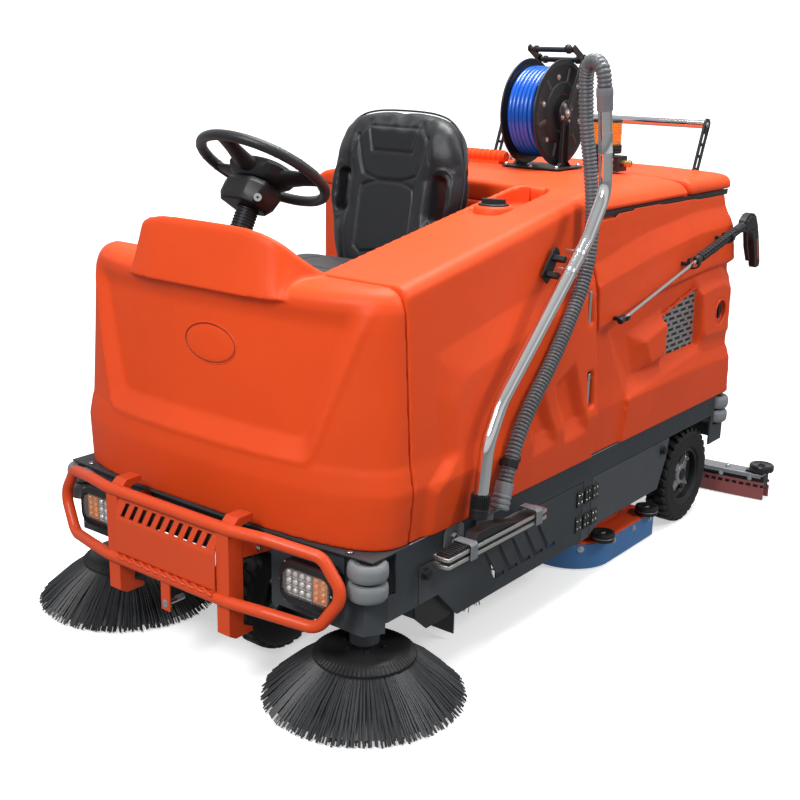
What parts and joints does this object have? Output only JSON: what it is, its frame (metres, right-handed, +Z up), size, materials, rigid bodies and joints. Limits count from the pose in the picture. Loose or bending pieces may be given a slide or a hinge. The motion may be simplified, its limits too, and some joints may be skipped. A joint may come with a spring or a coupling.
{
  "type": "ride-on sweeper-scrubber",
  "caption": "Ride-on floor sweeper-scrubber: orange body on a dark chassis, conical side brushes, main broom, scrub deck, squeegee, hose reel, vacuum wand and spray lance.",
  "frame": {"origin": "floor level under the middle of the overall length and width", "axes": "-Y is the machine's front, +X its left side and +Z up"},
  "size_m": [1.4889, 2.4313, 1.658],
  "materials": {
    "dark_steel": "satin powder coat",
    "orange_steel": "satin powder coat",
    "lamp": "clear and amber lens over diodes",
    "grey_rubber": "matt",
    "orange_plastic": "rotomoulded, fine matt",
    "black_plastic": "satin",
    "black_vinyl": "soft vinyl",
    "battery": "matt",
    "black_steel": "gloss powder coat",
    "blue_hose": "gloss",
    "amber": "ribbed lens",
    "chrome_tube": "polished",
    "grey_hose": "satin",
    "aluminium_strip": "brushed",
    "bristle": "bristle tufts",
    "tyre": "moulded tread",
    "rim": "painted, machined face",
    "blue_rubber": "matt",
    "red_rubber": "matt"
  },
  "bodies": {
    "machine_frame": {"chassis_frame": "dark_steel", "bumper_guard": "orange_steel", "headlights": "lamp", "front_cowl": "orange_plastic", "dash_panel": "black_plastic", "left_tank": "orange_plastic", "filler_cap": "black_plastic", "seat_base": "orange_plastic", "seat_cushion": "black_vinyl", "seat_back": "black_vinyl", "steering_column": "black_plastic", "recovery_tank": "orange_plastic", "battery_block": "battery", "top_cover": "orange_plastic", "reel_frame": "black_steel", "beacon": "amber", "valve_block": "black_plastic", "vac_wand": "chrome_tube", "vac_hose": "grey_hose", "hose_cuff": "grey_hose", "floor_nozzle": "aluminium_strip", "wand_brackets": "black_steel", "rear_axle": "dark_steel", "broom_housing": "dark_steel"},
    "steering_wheel": {"steering_wheel": "black_plastic"},
    "drive_fork": {"drive_fork": "dark_steel"},
    "front_wheel": {"front_tyre": "tyre", "front_rim": "rim"},
    "rear_wheel_left": {"rear_tyre_left": "tyre", "rear_rim_left": "rim"},
    "rear_wheel_right": {"rear_tyre_right": "tyre", "rear_rim_right": "rim"},
    "brush_arm_left": {"brush_arm_left": "dark_steel"},
    "brush_arm_right": {"brush_arm_right": "dark_steel"},
    "side_brush_left": {"side_brush_left": "bristle"},
    "side_brush_right": {"side_brush_right": "bristle"},
    "main_broom": {"main_broom": "bristle"},
    "scrub_deck": {"scrub_deck": "orange_plastic", "scrub_skirt": "blue_rubber", "deck_rollers": "black_plastic"},
    "disc_brush_left": {"disc_brush_left": "bristle"},
    "disc_brush_right": {"disc_brush_right": "bristle"},
    "squeegee": {"squeegee_body": "dark_steel", "squeegee_blades": "red_rubber", "squeegee_rollers": "black_plastic"},
    "rear_door_left": {"rear_door_left": "orange_plastic", "spray_gun": "black_plastic"},
    "rear_door_right": {"rear_door_right": "orange_plastic"},
    "rear_lid": {"rear_lid": "orange_plastic", "rear_rail": "chrome_tube"},
    "reel_drum": {"reel_drum": "black_steel", "reel_hose": "blue_hose"},
    "corner_roller_front_left": {"corner_roller_front_left": "grey_rubber"},
    "corner_roller_front_right": {"corner_roller_front_right": "grey_rubber"},
    "corner_roller_rear_left": {"corner_roller_rear_left": "grey_rubber"},
    "corner_roller_rear_right": {"corner_roller_rear_right": "grey_rubber"},
    "skirt_door_front_left": {"skirt_door_front_left": "dark_steel"},
    "skirt_door_rear_left": {"skirt_door_rear_left": "dark_steel"},
    "skirt_door_front_right": {"skirt_door_front_right": "dark_steel"},
    "skirt_door_rear_right": {"skirt_door_rear_right": "dark_steel"}
  },
  "joints": [
    {"name": "fork_steer", "type": "hinge", "parent": "machine_frame", "child": "drive_fork", "pos_m": [0, -0.8713, 0.4], "axis": [0, 0, 1], "range_deg": [-50, 50]},
    {"name": "steering_wheel_turn", "type": "hinge", "parent": "machine_frame", "child": "steering_wheel", "pos_m": [0, -0.8173, 1.327], "axis": [0, 0.5446, 0.8387], "range_deg": [-200, 200]},
    {"name": "front_wheel_spin", "type": "hinge", "parent": "drive_fork", "child": "front_wheel", "pos_m": [0.1, -0.8713, 0.1756], "axis": [1, 0, 0], "continuous": true},
    {"name": "rear_wheel_spin_left", "type": "hinge", "parent": "machine_frame", "child": "rear_wheel_left", "pos_m": [0.5255, 0.7611, 0.1756], "axis": [1, 0, 0], "continuous": true},
    {"name": "rear_wheel_spin_right", "type": "hinge", "parent": "machine_frame", "child": "rear_wheel_right", "pos_m": [-0.5255, 0.7611, 0.1756], "axis": [1, 0, 0], "continuous": true},
    {"name": "brush_arm_lift_left", "type": "hinge", "parent": "machine_frame", "child": "brush_arm_left", "pos_m": [0.44, -0.6713, 0.214], "axis": [-1, 0, 0], "range_deg": [0, 10]},
    {"name": "side_brush_spin_left", "type": "hinge", "parent": "brush_arm_left", "child": "side_brush_left", "pos_m": [0.4695, -0.9407, 0.15], "axis": [0, 0, 1], "continuous": true},
    {"name": "brush_arm_lift_right", "type": "hinge", "parent": "machine_frame", "child": "brush_arm_right", "pos_m": [-0.44, -0.6713, 0.214], "axis": [-1, 0, 0], "range_deg": [0, 10]},
    {"name": "side_brush_spin_right", "type": "hinge", "parent": "brush_arm_right", "child": "side_brush_right", "pos_m": [-0.4695, -0.9407, 0.15], "axis": [0, 0, 1], "continuous": true},
    {"name": "main_broom_spin", "type": "hinge", "parent": "machine_frame", "child": "main_broom", "pos_m": [0, -0.3513, 0.151], "axis": [1, 0, 0], "continuous": true},
    {"name": "scrub_deck_lift", "type": "slide", "parent": "machine_frame", "child": "scrub_deck", "axis": [0, 0, 1], "range_m": [0, 0.055]},
    {"name": "disc_brush_spin_left", "type": "hinge", "parent": "scrub_deck", "child": "disc_brush_left", "pos_m": [0.268, 0.3227, 0.05], "axis": [0, 0, 1], "continuous": true},
    {"name": "disc_brush_spin_right", "type": "hinge", "parent": "scrub_deck", "child": "disc_brush_right", "pos_m": [-0.268, 0.3227, 0.05], "axis": [0, 0, 1], "continuous": true},
    {"name": "squeegee_lift", "type": "hinge", "parent": "machine_frame", "child": "squeegee", "pos_m": [0, 0.9467, 0.252], "axis": [1, 0, 0], "range_deg": [0, 12]},
    {"name": "rear_door_swing_left", "type": "hinge", "parent": "machine_frame", "child": "rear_door_left", "pos_m": [0.592, -0.0023, 0.8], "axis": [0, 0, -1], "range_deg": [0, 100]},
    {"name": "rear_door_swing_right", "type": "hinge", "parent": "machine_frame", "child": "rear_door_right", "pos_m": [-0.592, 0.1377, 0.8], "axis": [0, 0, 1], "range_deg": [0, 100]},
    {"name": "skirt_door_swing_front_left", "type": "hinge", "parent": "machine_frame", "child": "skirt_door_front_left", "pos_m": [0.582, -0.0238, 0.27], "axis": [0, 0, 1], "range_deg": [0, 85]},
    {"name": "skirt_door_swing_front_right", "type": "hinge", "parent": "machine_frame", "child": "skirt_door_front_right", "pos_m": [-0.582, -0.0238, 0.27], "axis": [0, 0, -1], "range_deg": [0, 85]},
    {"name": "skirt_door_swing_rear_left", "type": "hinge", "parent": "machine_frame", "child": "skirt_door_rear_left", "pos_m": [0.582, 0.0312, 0.27], "axis": [0, 0, -1], "range_deg": [0, 85]},
    {"name": "skirt_door_swing_rear_right", "type": "hinge", "parent": "machine_frame", "child": "skirt_door_rear_right", "pos_m": [-0.582, 0.0312, 0.27], "axis": [0, 0, 1], "range_deg": [0, 85]},
    {"name": "rear_lid_open", "type": "hinge", "parent": "machine_frame", "child": "rear_lid", "pos_m": [0, 0.6257, 1.256], "axis": [1, 0, 0], "range_deg": [0, 60]},
    {"name": "reel_spin", "type": "hinge", "parent": "machine_frame", "child": "reel_drum", "pos_m": [0.052, 0.4987, 1.44], "axis": [1, 0, 0], "continuous": true},
    {"name": "corner_roller_spin_front_left", "type": "hinge", "parent": "machine_frame", "child": "corner_roller_front_left", "pos_m": [0.548, -1.0273, 0.384], "axis": [0, 0, 1], "continuous": true},
    {"name": "corner_roller_spin_front_right", "type": "hinge", "parent": "machine_frame", "child": "corner_roller_front_right", "pos_m": [-0.548, -1.0273, 0.384], "axis": [0, 0, 1], "continuous": true},
    {"name": "corner_roller_spin_rear_left", "type": "hinge", "parent": "machine_frame", "child": "corner_roller_rear_left", "pos_m": [0.56, 0.9767, 0.384], "axis": [0, 0, 1], "continuous": true},
    {"name": "corner_roller_spin_rear_right", "type": "hinge", "parent": "machine_frame", "child": "corner_roller_rear_right", "pos_m": [-0.56, 0.9767, 0.384], "axis": [0, 0, 1], "continuous": true}
  ],
  "couplings": [
    {"joint": "steering_wheel_turn", "follows": "fork_steer", "ratio": 4}
  ]
}
